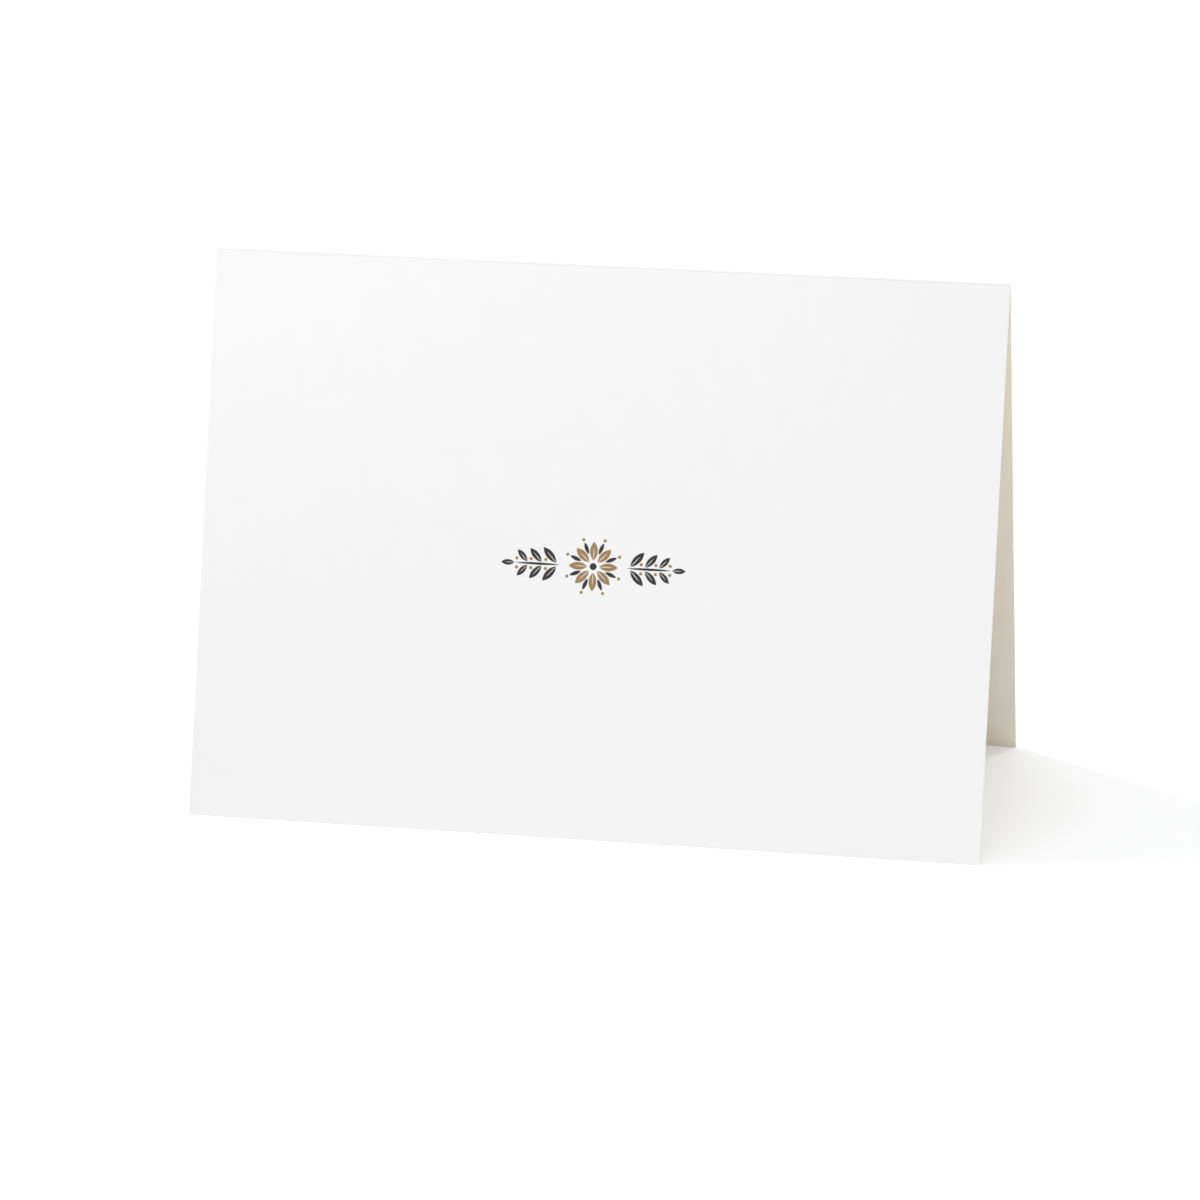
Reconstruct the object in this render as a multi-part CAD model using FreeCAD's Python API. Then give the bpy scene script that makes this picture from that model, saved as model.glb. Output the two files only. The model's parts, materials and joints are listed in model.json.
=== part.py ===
"""A greeting card of folded board, standing open as a tent.

One sheet is creased across its middle and folded there. It stands on two of its cut edges, with the fold on top, and
its back panel faces -Y. Millimetres, +Z up. The origin is on the surface that the card stands on, midway between its
ends and between its feet, and X runs along the fold.
"""

import FreeCAD, Part
import math
import os

# The sheet, a 5 by 7 inch card with its long side along the fold
card_width = 177.8  # along the fold
panel_height = 127.0  # along the board, from the middle of the fold to a cut edge
board_thickness = 0.4  # about 320 grams to the square metre

# How far it stands open
opening_angle = 34.2  # degrees between the two panels

# The fold, and the ridge that creasing raises along its inside
fold_inner_radius = 0.2
crease_ridge_swell = 0.1  # how much rounder the ridge is than the fold's inner radius
crease_ridge_drop = 0.1  # how far the ridge's centre lies below the fold's

# What follows from those
lean = math.radians(opening_angle / 2)  # of each panel, from upright
quarter_turn = math.pi / 2
fold_outer_radius = fold_inner_radius + board_thickness
fold_middle_radius = fold_inner_radius + board_thickness / 2
half_fold_length = fold_middle_radius * (quarter_turn - lean)
flat_length = panel_height - half_fold_length  # of a panel, below the round of the fold
# The inner corner of each cut edge is its lowest line, and stands on the surface.
fold_centre_height = flat_length * math.cos(lean) - fold_inner_radius * math.sin(lean)
crease_ridge_radius = fold_inner_radius + crease_ridge_swell

# The side of the fold that each panel is on, along Y
BACK = -1
FRONT = 1


def in_section(across, height):
    """A point of the card's section, at the end where X is lowest."""
    return FreeCAD.Vector(-card_width / 2, across, height)


def on_panel(side, radius, distance):
    """A point on a panel's face, so far down the board from the end of the fold's round, which has that radius."""
    across = radius * math.cos(lean) + distance * math.sin(lean)
    height = fold_centre_height + radius * math.sin(lean) - distance * math.cos(lean)
    return in_section(side * across, height)


def ridge_edge_distance():
    """How far down each panel's inner face the crease's ridge ends."""
    centre_to_face = fold_inner_radius + crease_ridge_drop * math.sin(lean)
    half_chord = math.sqrt(crease_ridge_radius**2 - centre_to_face**2)
    return crease_ridge_drop * math.cos(lean) + half_chord


def section():
    """The card's outline seen along the fold: two panels, the round of the fold, and the ridge inside it."""
    back_outer_foot = on_panel(BACK, fold_outer_radius, flat_length)
    back_outer_top = on_panel(BACK, fold_outer_radius, 0)
    fold_top = in_section(0, fold_centre_height + fold_outer_radius)
    front_outer_top = on_panel(FRONT, fold_outer_radius, 0)
    front_outer_foot = on_panel(FRONT, fold_outer_radius, flat_length)
    front_inner_foot = on_panel(FRONT, fold_inner_radius, flat_length)
    front_ridge_edge = on_panel(FRONT, fold_inner_radius, ridge_edge_distance())
    ridge_bottom = in_section(0, fold_centre_height - crease_ridge_drop - crease_ridge_radius)
    back_ridge_edge = on_panel(BACK, fold_inner_radius, ridge_edge_distance())
    back_inner_foot = on_panel(BACK, fold_inner_radius, flat_length)
    return Part.Wire(
        [
            Part.LineSegment(back_outer_foot, back_outer_top).toShape(),
            Part.Arc(back_outer_top, fold_top, front_outer_top).toShape(),
            Part.LineSegment(front_outer_top, front_outer_foot).toShape(),
            Part.LineSegment(front_outer_foot, front_inner_foot).toShape(),
            Part.LineSegment(front_inner_foot, front_ridge_edge).toShape(),
            Part.Arc(front_ridge_edge, ridge_bottom, back_ridge_edge).toShape(),
            Part.LineSegment(back_ridge_edge, back_inner_foot).toShape(),
            Part.LineSegment(back_inner_foot, back_outer_foot).toShape(),
        ]
    )


def folded_card():
    """The whole sheet, as one solid."""
    along_the_fold = FreeCAD.Vector(card_width, 0, 0)
    return Part.Face(section()).extrude(along_the_fold)


os.makedirs("parts", exist_ok=True)
folded_card().exportStep("parts/folded_card.step")
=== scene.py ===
"""The look of a greeting card: white board, folded once and standing open, in soft studio light.

Everything is in metres, in the frame's own place. X runs along the fold, the back panel faces -Y,
and Z is up. The card's width, height and lean come from the frame. The ornament on the back panel
is raised ink, and is modelled.
"""
import json
import math

import bmesh
import bpy
from mathutils import Matrix, Vector


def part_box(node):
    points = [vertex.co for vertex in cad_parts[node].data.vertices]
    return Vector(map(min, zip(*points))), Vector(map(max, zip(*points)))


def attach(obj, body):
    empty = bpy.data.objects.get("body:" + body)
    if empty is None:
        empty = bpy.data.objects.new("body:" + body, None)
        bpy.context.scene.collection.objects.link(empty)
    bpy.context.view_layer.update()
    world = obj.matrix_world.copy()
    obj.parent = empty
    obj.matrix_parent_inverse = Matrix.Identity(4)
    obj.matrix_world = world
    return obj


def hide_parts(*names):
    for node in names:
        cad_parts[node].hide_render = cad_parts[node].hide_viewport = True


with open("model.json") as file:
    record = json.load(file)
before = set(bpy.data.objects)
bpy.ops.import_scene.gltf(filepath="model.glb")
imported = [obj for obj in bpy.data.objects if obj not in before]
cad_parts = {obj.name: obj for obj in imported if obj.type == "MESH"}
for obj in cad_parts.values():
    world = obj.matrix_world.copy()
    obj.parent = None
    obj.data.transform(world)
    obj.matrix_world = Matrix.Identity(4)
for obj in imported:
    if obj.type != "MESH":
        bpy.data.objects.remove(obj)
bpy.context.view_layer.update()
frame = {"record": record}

MM = 0.001
FULL_TURN = 2 * math.pi
HALF_TURN = math.pi
QUARTER_TURN = math.pi / 2

# The sheet, as the frame has it
CARD_LOW, CARD_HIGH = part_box("folded_card")
CARD_WIDTH = CARD_HIGH.x - CARD_LOW.x
BACK_FACE = next(mount for mount in frame["record"]["mounts"] if mount["name"] == "back_face")
LEAN = math.asin(BACK_FACE["axis"][2])  # of each panel, from upright
BOARD_THICKNESS = 0.4 * MM
FOLD_INNER_RADIUS = 0.2 * MM
FOLD_MIDDLE_RADIUS = FOLD_INNER_RADIUS + BOARD_THICKNESS / 2
FOLD_OUTER_RADIUS = FOLD_INNER_RADIUS + BOARD_THICKNESS
FOLD_CENTRE = Vector((0, 0, CARD_HIGH.z - FOLD_OUTER_RADIUS))
FLAT_LENGTH = (FOLD_CENTRE.z + FOLD_INNER_RADIUS * math.sin(LEAN)) / math.cos(LEAN)

# Directions on the panels
UP_BACK_PANEL = Vector((0, math.sin(LEAN), math.cos(LEAN)))
OUT_OF_BACK_PANEL = Vector((0, -math.cos(LEAN), math.sin(LEAN)))
DOWN_FRONT_PANEL = Vector((0, math.sin(LEAN), -math.cos(LEAN)))
BACK_PANEL_TILT = QUARTER_TURN - LEAN  # turns a flat sheet up into the back panel


def linear(hex_colour):
    """An sRGB hex colour as linear red, green and blue, with full alpha."""
    channels = [int(hex_colour[i : i + 2], 16) / 255 for i in (1, 3, 5)]
    return [c / 12.92 if c <= 0.04045 else ((c + 0.055) / 1.055) ** 2.4 for c in channels] + [1]


def add_node(owner, kind, inputs=None, **settings):
    """Adds a node to a material or the world.

    inputs gives each socket a value, or another node's output to link.
    """
    node = owner.node_tree.nodes.new(kind)
    for setting, value in settings.items():
        setattr(node, setting, value)
    for socket, value in (inputs or {}).items():
        if isinstance(value, bpy.types.NodeSocket):
            owner.node_tree.links.new(value, node.inputs[socket])
        else:
            node.inputs[socket].default_value = value
    return node


def new_material(name):
    """A material with nothing in it yet."""
    material = bpy.data.materials.new(name)
    material.use_nodes = True
    material.node_tree.nodes.clear()
    return material


def select_only(*pieces):
    """Selects these pieces and no others, the first one active."""
    bpy.ops.object.select_all(action="DESELECT")
    for piece in pieces:
        piece.select_set(True)
    bpy.context.view_layer.objects.active = pieces[0]


def select_vertices(piece, wanted):
    """In edit mode, selects the vertices whose place is wanted, and what lies between them."""
    shape = bmesh.from_edit_mesh(piece.data)
    for vertex in shape.verts:
        vertex.select_set(wanted(vertex.co))
    shape.select_flush_mode()
    bmesh.update_edit_mesh(piece.data)


def apply_modifiers(piece):
    """Applies the piece's modifiers, from the first down."""
    for modifier in list(piece.modifiers):
        bpy.ops.object.modifier_apply(modifier=modifier.name)


def apply_place():
    """Moves the active piece's place, turn and scale into its mesh."""
    bpy.ops.object.transform_apply(location=True, rotation=True, scale=True)


# The camera, where the photograph's card has its five corners
CAMERA_AZIMUTH = math.radians(10.28)  # to the card's right
CAMERA_ELEVATION = math.radians(18.85)
CAMERA_ROLL = math.radians(-0.1)
CAMERA_DISTANCE = 1215.0 * MM
CAMERA_AIM = Vector((-2.1, 0, 43.3)) * MM
CAMERA_LENS = 161.8  # in mm, as the camera has it
CAMERA_SENSOR = 36.0


def turned_to(azimuth, elevation):
    """The turn of a lamp or camera that looks at the card from that side.

    Its own +Z points back along its view.
    """
    about_z = Matrix.Rotation(azimuth, 4, "Z")
    return about_z @ Matrix.Rotation(QUARTER_TURN - elevation, 4, "X")


def set_camera():
    """The camera, at the photograph's viewing angle."""
    bpy.ops.object.camera_add()
    camera = bpy.context.object
    camera.data.lens = CAMERA_LENS
    camera.data.sensor_width = CAMERA_SENSOR
    roll = Matrix.Rotation(CAMERA_ROLL, 4, "Z")
    turn = turned_to(CAMERA_AZIMUTH, CAMERA_ELEVATION) @ roll
    back_along_view = turn.to_3x3() @ Vector((0, 0, CAMERA_DISTANCE))
    camera.matrix_world = Matrix.Translation(CAMERA_AIM + back_along_view) @ turn
    bpy.context.scene.camera = camera


# The studio: even white surroundings, and four large round lamps far off
WHITE = linear("#FFFFFF")
WORLD_LEVEL = 0.445  # of a white surface that only the surroundings light
SEEN_WHITE = 1.0
FLOOR_SIZE = 12.0
FLOOR_GIVE = 0.07 * MM  # how far the card's thin feet press into the paint
FLOOR_GLOW = 0.15  # brings the open floor up to the backdrop's white, and leaves the shadow on it
# Each lamp's azimuth from the back panel's side, its elevation and how wide it looks from the
# card, all in degrees, and the level that it lights a white surface to when that faces it
LAMPS = {
    "left_lamp": (-100, 45, 15, 0.395),
    "lamp_behind": (141, 35, 10, 0.168),
    "front_lamp": (10, 25, 40, 0.185),
    "overhead_lamp": (0, 88, 40, 0.273),
}


def seen_directly(owner):
    """1 for what the camera, a reflection or a view through glass meets, 0 for light on its way."""
    path = add_node(owner, "ShaderNodeLightPath")
    either = add_node(
        owner,
        "ShaderNodeMath",
        {0: path.outputs["Is Camera Ray"], 1: path.outputs["Is Glossy Ray"]},
        operation="MAXIMUM",
    )
    any_of_them = add_node(
        owner,
        "ShaderNodeMath",
        {0: either.outputs[0], 1: path.outputs["Is Transmission Ray"]},
        operation="MAXIMUM",
    )
    return any_of_them.outputs[0]


def light_surroundings():
    """Even white all round, which lights the card at one level and is seen at another."""
    world = bpy.data.worlds.new("studio")
    bpy.context.scene.world = world
    world.use_nodes = True
    world.node_tree.nodes.clear()
    lighting = add_node(world, "ShaderNodeBackground", {"Color": WHITE, "Strength": WORLD_LEVEL})
    backdrop = add_node(world, "ShaderNodeBackground", {"Color": WHITE, "Strength": SEEN_WHITE})
    shown = add_node(
        world,
        "ShaderNodeMixShader",
        {0: seen_directly(world), 1: lighting.outputs[0], 2: backdrop.outputs[0]},
    )
    add_node(world, "ShaderNodeOutputWorld", {"Surface": shown.outputs[0]})


def hang_lamp(name, azimuth, elevation, breadth, level):
    """A round lamp so far off that it lights the card and the floor evenly."""
    bpy.ops.object.light_add(type="SUN")
    lamp = bpy.context.object
    lamp.name = name
    lamp.data.angle = math.radians(breadth)
    lamp.data.energy = level * math.pi  # pi lights a white surface that faces it to 1
    lamp.matrix_world = turned_to(math.radians(azimuth), math.radians(elevation))


def floor_paint():
    """Matte white paint on a studio floor, soft and without sheen.

    Only the card's shadow shows on it.
    """
    material = new_material("matte_floor_paint")
    paint = add_node(material, "ShaderNodeBsdfDiffuse", {"Color": linear("#F6F7F9")})
    glow = add_node(material, "ShaderNodeEmission", {"Color": WHITE, "Strength": FLOOR_GLOW})
    nothing = add_node(material, "ShaderNodeEmission", {"Strength": 0})
    shown = add_node(
        material,
        "ShaderNodeMixShader",
        {0: seen_directly(material), 1: nothing.outputs[0], 2: glow.outputs[0]},
    )
    both = add_node(material, "ShaderNodeAddShader", {0: paint.outputs[0], 1: shown.outputs[0]})
    add_node(material, "ShaderNodeOutputMaterial", {"Surface": both.outputs[0]})
    return material


def lay_floor():
    """The studio's floor, which the card's feet press into by a hair."""
    bpy.ops.mesh.primitive_plane_add(size=FLOOR_SIZE, location=(0, 0, FLOOR_GIVE))
    floor = bpy.context.object
    floor.name = "studio_floor"
    apply_place()
    floor.data.materials.append(floor_paint())


# The board's finishes
CLOUD_SIZE = 7.0 * MM  # of the thick and thin places where fibres settle unevenly in the sheet
COATING_GRAIN = 0.25 * MM  # of the coating's finest unevenness, drawn coarser so that it shows
COATING_RELIEF = 0.002 * MM
CRACK_LENGTH = 1.5 * MM
CRACK_WIDTH = 0.12 * MM
CRACK_RELIEF = 0.006 * MM
FIBRE_LENGTH = 2.0 * MM
FIBRE_WIDTH = 0.25 * MM  # ten times a real fibre's, so that it shows
FIBRE_RELIEF = 0.012 * MM
PLY_THICKNESS = 0.1 * MM  # of the layers of pulp that the board is made of
INK_GRAIN = 0.3 * MM
INK_RELIEF = 0.003 * MM

# The Mix node's colour sockets, which share their names with its other sockets
DARKER = 6
LIGHTER = 7
MIXED = 2


def object_place(material, scale=(1, 1, 1)):
    """The place on the piece, in metres, stretched by scale."""
    place = add_node(material, "ShaderNodeTexCoord")
    stretched = add_node(
        material, "ShaderNodeMapping", {"Vector": place.outputs["Object"], "Scale": scale}
    )
    return stretched.outputs[0]


def mottled_surface(material, mottle, colours, height, depth, roughness, ior):
    """Ends a material as a surface that is mottled between two colours, with a relief."""
    darker_hex, lighter_hex = colours
    colour = add_node(
        material,
        "ShaderNodeMix",
        {"Factor": mottle, DARKER: linear(darker_hex), LIGHTER: linear(lighter_hex)},
        data_type="RGBA",
    )
    relief = add_node(
        material, "ShaderNodeBump", {"Height": height, "Distance": depth, "Strength": 1.0}
    )
    surface = add_node(
        material,
        "ShaderNodeBsdfPrincipled",
        {
            "Base Color": colour.outputs[MIXED],
            "Roughness": roughness,
            "IOR": ior,
            "Normal": relief.outputs[0],
        },
    )
    add_node(material, "ShaderNodeOutputMaterial", {"Surface": surface.outputs[0]})
    return material


def coated_board():
    """White board with a calendered clay coating.

    It is smooth and bright, with a faint silk sheen and hardly a trace of the sheet's cloudiness.
    """
    material = new_material("coated_board")
    place = object_place(material)
    clouds = add_node(
        material,
        "ShaderNodeTexNoise",
        {"Vector": place, "Scale": 1 / CLOUD_SIZE, "Detail": 3, "Roughness": 0.55},
    ).outputs["Fac"]
    grain = add_node(
        material, "ShaderNodeTexNoise", {"Vector": place, "Scale": 1 / COATING_GRAIN, "Detail": 2}
    ).outputs["Fac"]
    roughness = add_node(
        material, "ShaderNodeMapRange", {"Value": grain, "To Min": 0.46, "To Max": 0.56}
    ).outputs[0]
    colours = ("#F7F6F5", "#F8F8F7")
    return mottled_surface(material, clouds, colours, grain, COATING_RELIEF, roughness, ior=1.5)


def creased_coating_and_painted_shade():
    """The coating where it is stretched round the fold.

    It has gone dull there, with hair cracks along the fold. Its colour, a shade greyer than the
    board's, is painted shade along the fold's top, which draws the eye to it as one fine line.
    """
    material = new_material("creased_coating_and_painted_shade")
    along_the_fold = (1 / CRACK_LENGTH, 1 / CRACK_WIDTH, 1 / CRACK_WIDTH)
    place = object_place(material, along_the_fold)
    cracks = add_node(
        material,
        "ShaderNodeTexNoise",
        {"Vector": place, "Scale": 1, "Detail": 3, "Roughness": 0.6},
    ).outputs["Fac"]
    # painted shade: these greys darken the fold's top below the board's white
    colours = ("#E9E9E8", "#F2F2F1")
    return mottled_surface(
        material, cracks, colours, cracks, CRACK_RELIEF, roughness=0.85, ior=1.3
    )


def uncoated_board():
    """The board's inner side, ivory and left uncoated.

    It is dead matt and warm, with its fibres lying along the fold.
    """
    material = new_material("uncoated_ivory_board")
    along_the_grain = (1 / FIBRE_LENGTH, 1 / FIBRE_WIDTH, 1 / FIBRE_WIDTH)
    fibres = add_node(
        material,
        "ShaderNodeTexNoise",
        {
            "Vector": object_place(material, along_the_grain),
            "Scale": 1,
            "Detail": 4,
            "Roughness": 0.6,
        },
    ).outputs["Fac"]
    clouds = add_node(
        material,
        "ShaderNodeTexNoise",
        {"Vector": object_place(material), "Scale": 1 / CLOUD_SIZE, "Detail": 3},
    ).outputs["Fac"]
    mottle = add_node(
        material, "ShaderNodeMath", {0: fibres, 1: clouds}, operation="MULTIPLY"
    ).outputs[0]
    colours = ("#EFE8D9", "#F7F0E1")
    return mottled_surface(
        material, mottle, colours, fibres, FIBRE_RELIEF, roughness=0.92, ior=1.45
    )


def guillotined_edge():
    """The board's cut edge, where the knife has sheared its layers.

    It is matt and a little darker than the faces, with the layers showing as fine lines.
    """
    material = new_material("guillotined_board_edge")
    across_the_layers = (1 / FIBRE_WIDTH, 1 / PLY_THICKNESS, 1 / FIBRE_WIDTH)
    place = object_place(material, across_the_layers)
    layers = add_node(
        material, "ShaderNodeTexNoise", {"Vector": place, "Scale": 1, "Detail": 3}
    ).outputs["Fac"]
    colours = ("#EDEAE2", "#F8F6F1")
    return mottled_surface(
        material, layers, colours, layers, FIBRE_RELIEF, roughness=0.95, ior=1.45
    )


def screen_ink(name, colours):
    """Ink pressed through a screen and left to dry.

    It is a thick satin film that stands a little proud of the board, with the screen's faint
    orange peel and a colour that varies a touch with its depth.
    """
    material = new_material(name)
    place = object_place(material)
    peel = add_node(
        material, "ShaderNodeTexNoise", {"Vector": place, "Scale": 1 / INK_GRAIN, "Detail": 2}
    ).outputs["Fac"]
    roughness = add_node(
        material, "ShaderNodeMapRange", {"Value": peel, "To Min": 0.5, "To Max": 0.6}
    ).outputs[0]
    return mottled_surface(material, peel, colours, peel, INK_RELIEF, roughness, ior=1.35)


# The card's own shape
FOLD_STEPS = 16
# The ridge inside the fold is the fold's inner round turned over, slid down the panels and widened
# to meet them.
RIDGE_WIDENING = 1.44
RIDGE_FLIP = -1.3
RIDGE_FLIP_DROP = 0.061 * MM  # below the fold's centre
INNER_ROUND_REACH = 1.1 * FOLD_INNER_RADIUS  # takes in the fold's inner round and no more
OUTER_ROUND_START = 0.99  # of the height above the fold's centre at which its outer round starts
CUT_EDGE_ROUNDING = 0.04 * MM
CUT_EDGE_SEGMENTS = 2
CUT_EDGE_ANGLE = math.radians(60)
SMOOTH_ANGLE = math.radians(30)

# The card's material slots after its first, which is the outside's
INSIDE = 1
CUT_EDGES = 2
# the fold's outside, whose greyer colour is painted shade
CREASE_AND_PAINTED_SHADE = 3


def fold_sheet():
    """The sheet's middle surface.

    The back panel is swept round the fold and run down into the front panel.
    """
    top_of_back_panel = FOLD_CENTRE + FOLD_MIDDLE_RADIUS * OUT_OF_BACK_PANEL
    bpy.ops.mesh.primitive_plane_add(
        size=1,
        location=top_of_back_panel - FLAT_LENGTH / 2 * UP_BACK_PANEL,
        rotation=(BACK_PANEL_TILT, 0, 0),
    )
    card = bpy.context.object
    card.name = "folded_board"
    card.scale = (CARD_WIDTH, FLAT_LENGTH, 1)
    apply_place()
    bpy.ops.object.mode_set(mode="EDIT")
    bpy.ops.mesh.select_mode(type="VERT")
    select_vertices(card, lambda place: place.z > FOLD_CENTRE.z)
    bpy.ops.mesh.spin(
        steps=FOLD_STEPS, angle=HALF_TURN - 2 * LEAN, center=FOLD_CENTRE, axis=(1, 0, 0)
    )
    bpy.ops.mesh.extrude_region_move(
        TRANSFORM_OT_translate={"value": FLAT_LENGTH * DOWN_FRONT_PANEL}
    )
    bpy.ops.mesh.select_all(action="SELECT")
    bpy.ops.mesh.normals_make_consistent(inside=False)
    bpy.ops.object.mode_set(mode="OBJECT")
    return card


def from_fold_centre(place):
    """How far a place is from the line that the fold bends about."""
    return (place - FOLD_CENTRE).yz.length


def raise_crease_ridge(card):
    """Turns over the round inside the fold, so that it bulges down as a creased board's does."""
    bpy.ops.object.mode_set(mode="EDIT")
    select_vertices(card, lambda place: from_fold_centre(place) < INNER_ROUND_REACH)
    bpy.ops.transform.resize(
        value=(1, RIDGE_WIDENING, RIDGE_FLIP),
        center_override=FOLD_CENTRE - Vector((0, 0, RIDGE_FLIP_DROP)),
    )
    bpy.ops.object.mode_set(mode="OBJECT")


def finish_fold(card):
    """Gives the round of the fold's outside its creased coating, greyed with painted shade."""
    bpy.ops.object.mode_set(mode="EDIT")
    lowest = FOLD_CENTRE.z + OUTER_ROUND_START * FOLD_OUTER_RADIUS * math.sin(LEAN)
    select_vertices(
        card,
        lambda place: place.z > lowest and from_fold_centre(place) > FOLD_MIDDLE_RADIUS,
    )
    card.active_material_index = CREASE_AND_PAINTED_SHADE
    bpy.ops.object.material_slot_assign()
    bpy.ops.object.mode_set(mode="OBJECT")


def make_card():
    """The whole folded sheet, with its coated outside, its uncoated inside and its cut edges."""
    card = fold_sheet()
    for finish in (coated_board(), uncoated_board(), guillotined_edge(), creased_coating_and_painted_shade()):
        card.data.materials.append(finish)
    board = card.modifiers.new("board", "SOLIDIFY")
    board.thickness = BOARD_THICKNESS
    board.offset = 0
    board.use_even_offset = True
    board.material_offset = INSIDE
    board.material_offset_rim = CUT_EDGES
    apply_modifiers(card)
    raise_crease_ridge(card)
    finish_fold(card)
    rounding = card.modifiers.new("rounding", "BEVEL")
    rounding.width = CUT_EDGE_ROUNDING
    rounding.segments = CUT_EDGE_SEGMENTS
    rounding.limit_method = "ANGLE"
    rounding.angle_limit = CUT_EDGE_ANGLE
    rounding.use_clamp_overlap = False
    apply_modifiers(card)
    bpy.ops.object.shade_smooth_by_angle(angle=SMOOTH_ANGLE)
    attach(card, "root")
    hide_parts("folded_card")


# The ornament printed on the back panel. It is modelled flat about its own middle, with X along
# the fold and Y up the panel, and then laid on the board.
ORNAMENT_BELOW_FOLD = 66.0 * MM
CHARCOAL = ("#2A2928", "#343332")
TAN = ("#9A7C52", "#A5875E")
INK_DEPTH = 0.04 * MM
INK_PROUD = 0.03 * MM  # of the board's face, with the rest of its depth sunk in the coating
INK_DRAW_IN = 0.95  # how wide the ink's top is beside its outline, drawn in as it dried
ARC_STEPS = 96
CROSSING_DEPTH = 2  # of a blade's second disc beside its first, so that no flat faces meet
BLADE_LENGTH = 4.2 * MM
BLADE_WIDTH = 1.75 * MM
VEIN_LENGTH = 0.8  # of its leaf's
VEIN_WIDTH = 0.1
VEIN_DEPTH = 3  # goes right through
VEIN_START = -0.05 * BLADE_LENGTH  # just before the leaf's foot, which it leaves open
DOT_RADIUS = 0.36 * MM
DOT_STEPS = 24

PETALS = 8
PETAL_START = 1.3 * MM  # from the rosette's middle
SEPAL_START = 2.9 * MM
SEPAL_SIZE = (2.8 * MM, 0.85 * MM)
ROSETTE_DOTS = 6.3 * MM
HEART_SCALE = 2.2  # beside the other dots

STEM_START = 7.4 * MM
STEM_SIZE = (10.2 * MM, 0.52 * MM)
STEM_GAP = 0.38 * MM  # from the stem's middle to where its leaves start
TIP_LEAF_START = 17.7 * MM
TIP_LEAF_SIZE = (3.0 * MM, 1.25 * MM)
LEAF_ANGLE = math.radians(48)
# How far out each pair of leaves starts, how long they are and how wide
LEAF_PAIRS = (
    (8.3 * MM, 4.5 * MM, 1.65 * MM),
    (11.6 * MM, 4.0 * MM, 1.5 * MM),
    (14.8 * MM, 3.4 * MM, 1.3 * MM),
)
BERRY_BEYOND_LEAF = 2.4 * MM
BERRY_OFF_STEM = 1.0 * MM


def combine(piece, tool, operation):
    """Joins, cuts or crosses the piece with a tool, which is then gone."""
    joining = piece.modifiers.new("joining", "BOOLEAN")
    joining.object = tool
    joining.operation = operation
    select_only(piece)
    apply_modifiers(piece)
    bpy.data.objects.remove(tool, do_unlink=True)


def draw_in_top(piece, middle):
    """Makes the ink's upper face smaller than its lower one."""
    select_only(piece)
    bpy.ops.object.mode_set(mode="EDIT")
    bpy.ops.mesh.select_mode(type="VERT")
    select_vertices(piece, lambda place: place.z > 0)
    bpy.ops.transform.resize(value=(INK_DRAW_IN, INK_DRAW_IN, 1), center_override=middle)
    bpy.ops.object.mode_set(mode="OBJECT")


def copy_of(piece, place):
    """A copy of the piece with a mesh of its own, put in its place."""
    select_only(piece)
    bpy.ops.object.duplicate()
    copy = bpy.context.object
    copy.matrix_world = place
    apply_place()
    return copy


def blade_shape():
    """A pointed blade along X that starts at the origin, where two round discs of ink cross."""
    off_axis = (BLADE_LENGTH**2 - BLADE_WIDTH**2) / (4 * BLADE_WIDTH)
    discs = []
    for side, depth in ((1, INK_DEPTH), (-1, CROSSING_DEPTH * INK_DEPTH)):
        bpy.ops.mesh.primitive_cylinder_add(
            vertices=ARC_STEPS,
            radius=off_axis + BLADE_WIDTH / 2,
            depth=depth,
            location=(BLADE_LENGTH / 2, side * off_axis, 0),
        )
        apply_place()
        discs.append(bpy.context.object)
    blade, other_disc = discs
    combine(blade, other_disc, "INTERSECT")
    draw_in_top(blade, Vector((BLADE_LENGTH / 2, 0, 0)))
    return blade


def leaf_shape(blade):
    """A blade with a fine vein left open along it, from its foot."""
    leaf = copy_of(blade, Matrix.Identity(4))
    start = Matrix.Translation((VEIN_START, 0, 0))
    vein = copy_of(blade, start @ Matrix.Diagonal((VEIN_LENGTH, VEIN_WIDTH, VEIN_DEPTH, 1)))
    combine(leaf, vein, "DIFFERENCE")
    return leaf


def dot_shape():
    """A round drop of ink about the origin."""
    bpy.ops.mesh.primitive_cylinder_add(vertices=DOT_STEPS, radius=DOT_RADIUS, depth=INK_DEPTH)
    dot = bpy.context.object
    draw_in_top(dot, Vector((0, 0, 0)))
    return dot


def blade_place(start, direction, size):
    """Where a blade lies that starts at a point, runs in a direction, and is so long and wide."""
    turn = Matrix.Rotation(math.atan2(direction[1], direction[0]), 4, "Z")
    stretch = Matrix.Diagonal((size[0] / BLADE_LENGTH, size[1] / BLADE_WIDTH, 1, 1))
    return Matrix.Translation((start[0], start[1], 0)) @ turn @ stretch


def rosette_places():
    """The petals, the sepals and the outer dots, all round the rosette."""
    petals, sepals, dots = [], [], []
    for step in range(PETALS):
        along = Matrix.Rotation(step * FULL_TURN / PETALS, 2) @ Vector((1, 0))
        between = Matrix.Rotation((step + 0.5) * FULL_TURN / PETALS, 2) @ Vector((1, 0))
        petals.append(blade_place(PETAL_START * along, along, (BLADE_LENGTH, BLADE_WIDTH)))
        sepals.append(blade_place(SEPAL_START * between, between, SEPAL_SIZE))
        dots.append(Matrix.Translation((ROSETTE_DOTS * between).to_3d()))
    return petals, sepals, dots


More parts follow.
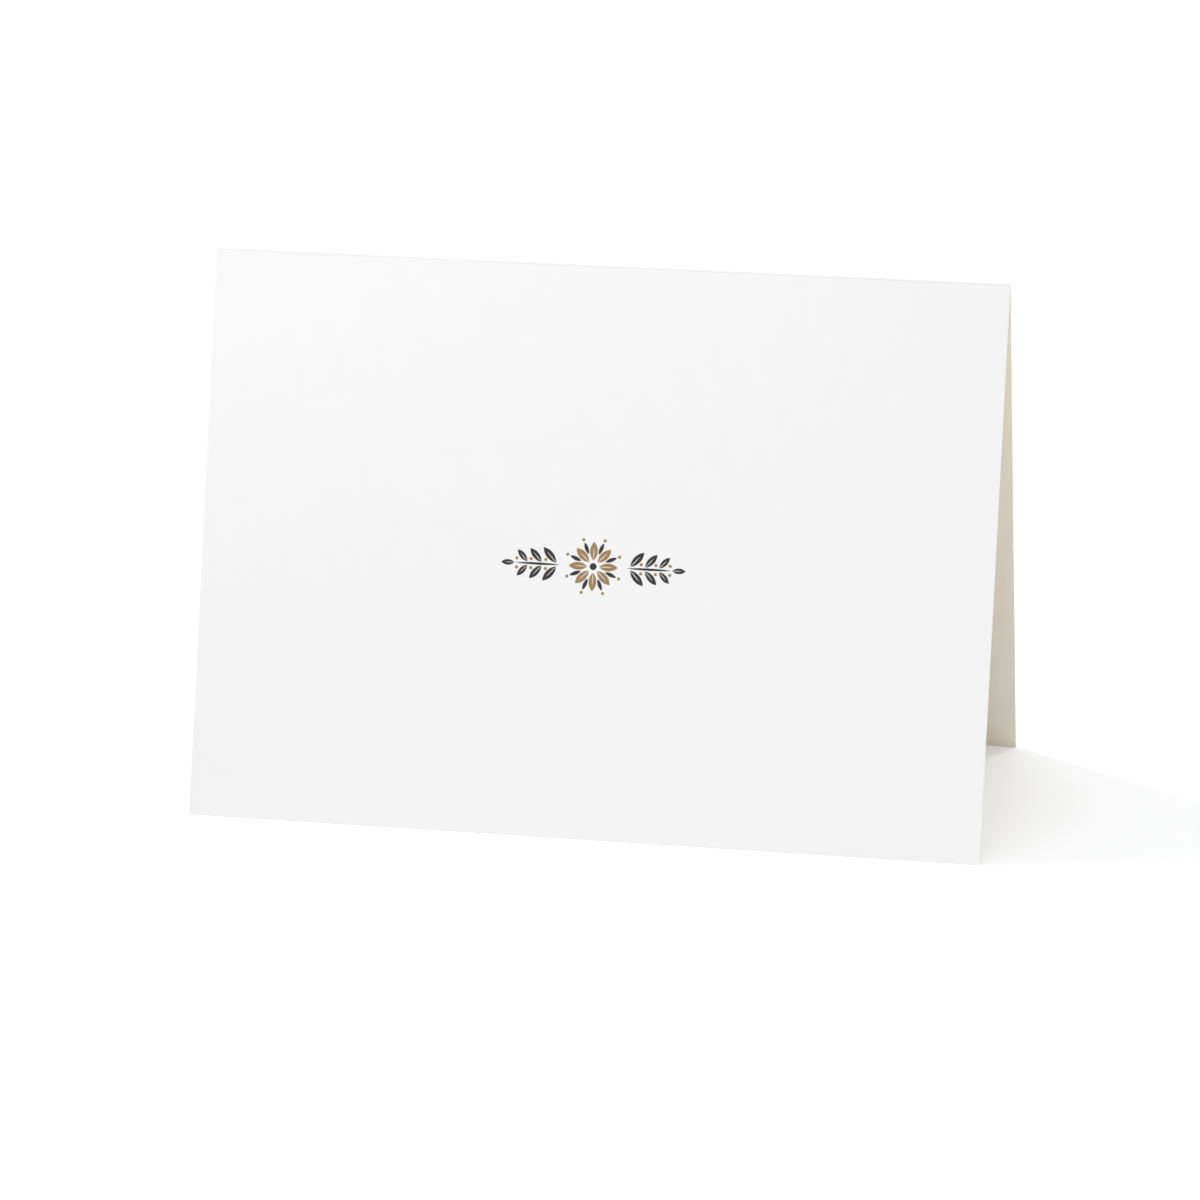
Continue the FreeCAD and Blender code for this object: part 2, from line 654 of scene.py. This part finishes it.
def sprig_places(side):
    """The stem, the leaves and the berries of the sprig on one side of the rosette."""
    stem = blade_place((side * STEM_START, 0), (side, 0), STEM_SIZE)
    leaves = [blade_place((side * TIP_LEAF_START, 0), (side, 0), TIP_LEAF_SIZE)]
    berries = []
    for out, length, width in LEAF_PAIRS:
        for up in (1, -1):
            direction = (side * math.cos(LEAF_ANGLE), up * math.sin(LEAF_ANGLE))
            leaves.append(blade_place((side * out, up * STEM_GAP), direction, (length, width)))
            berry = (side * (out + BERRY_BEYOND_LEAF), up * BERRY_OFF_STEM, 0)
            berries.append(Matrix.Translation(berry))
    return stem, leaves, berries


def lay_print(name, pieces, ink):
    """Joins what is printed in one ink and lays it on the back panel."""
    select_only(*pieces)
    bpy.ops.object.join()
    printed = bpy.context.object
    printed.name = name
    printed.data.materials.clear()
    printed.data.materials.append(ink)
    top_of_face = FOLD_CENTRE + FOLD_OUTER_RADIUS * OUT_OF_BACK_PANEL
    middle = top_of_face - ORNAMENT_BELOW_FOLD * UP_BACK_PANEL
    rise = (INK_PROUD - INK_DEPTH / 2) * OUT_OF_BACK_PANEL
    tilt = Matrix.Rotation(BACK_PANEL_TILT, 4, "X")
    printed.matrix_world = Matrix.Translation(middle + rise) @ tilt
    apply_place()
    bpy.ops.object.shade_smooth_by_angle(angle=SMOOTH_ANGLE)
    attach(printed, "root")


def print_ornament():
    """A rosette with a leafy sprig on each side of it, in two inks."""
    blade = blade_shape()
    leaf = leaf_shape(blade)
    dot = dot_shape()
    petals, sepals, dots = rosette_places()
    heart = Matrix.Diagonal((HEART_SCALE, HEART_SCALE, 1, 1))
    in_charcoal = [copy_of(dot, heart)] + [copy_of(blade, place) for place in sepals]
    in_tan = [copy_of(leaf, place) for place in petals] + [copy_of(dot, place) for place in dots]
    for side in (1, -1):
        stem, leaves, berries = sprig_places(side)
        in_charcoal += [copy_of(blade, stem)] + [copy_of(leaf, place) for place in leaves]
        in_tan += [copy_of(dot, place) for place in berries]
    for pattern in (blade, leaf, dot):
        bpy.data.objects.remove(pattern, do_unlink=True)
    lay_print("charcoal_print", in_charcoal, screen_ink("charcoal_screen_ink", CHARCOAL))
    lay_print("tan_print", in_tan, screen_ink("tan_screen_ink", TAN))


bpy.context.scene.view_settings.view_transform = "Standard"
set_camera()
light_surroundings()
for lamp_name, lamp_setting in LAMPS.items():
    hang_lamp(lamp_name, *lamp_setting)
lay_floor()
make_card()
print_ornament()

bpy.context.view_layer.update()
